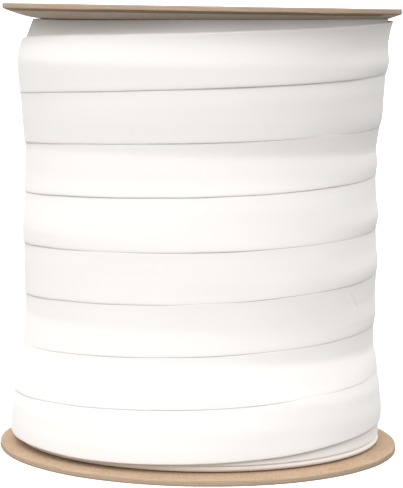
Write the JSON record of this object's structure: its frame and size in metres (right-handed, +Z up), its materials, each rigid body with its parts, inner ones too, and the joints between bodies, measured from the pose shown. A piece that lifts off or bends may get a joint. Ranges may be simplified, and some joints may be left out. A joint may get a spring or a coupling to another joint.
{
  "type": "roll of bias tape",
  "caption": "White folded bias tape wound in slanting turns on a reel between two round kraft-board flanges, standing on its lower flange.",
  "frame": {"origin": "on the reel's axis, level with the rim of the lower flange, on which the reel stands", "axes": "+Z up along the reel's axis, -Y towards the viewer, +X to the viewer's right"},
  "size_m": [0.1, 0.1, 0.1107],
  "materials": {
    "kraft_board": "matte brown kraft-faced board with a cut edge",
    "white_bias_tape": "matte plain-woven white cotton blend, cut on the bias and folded"
  },
  "bodies": {
    "root": {"flange_bottom": "kraft_board", "flange_top": "kraft_board", "tape_winding": "white_bias_tape"}
  },
  "joints": []
}
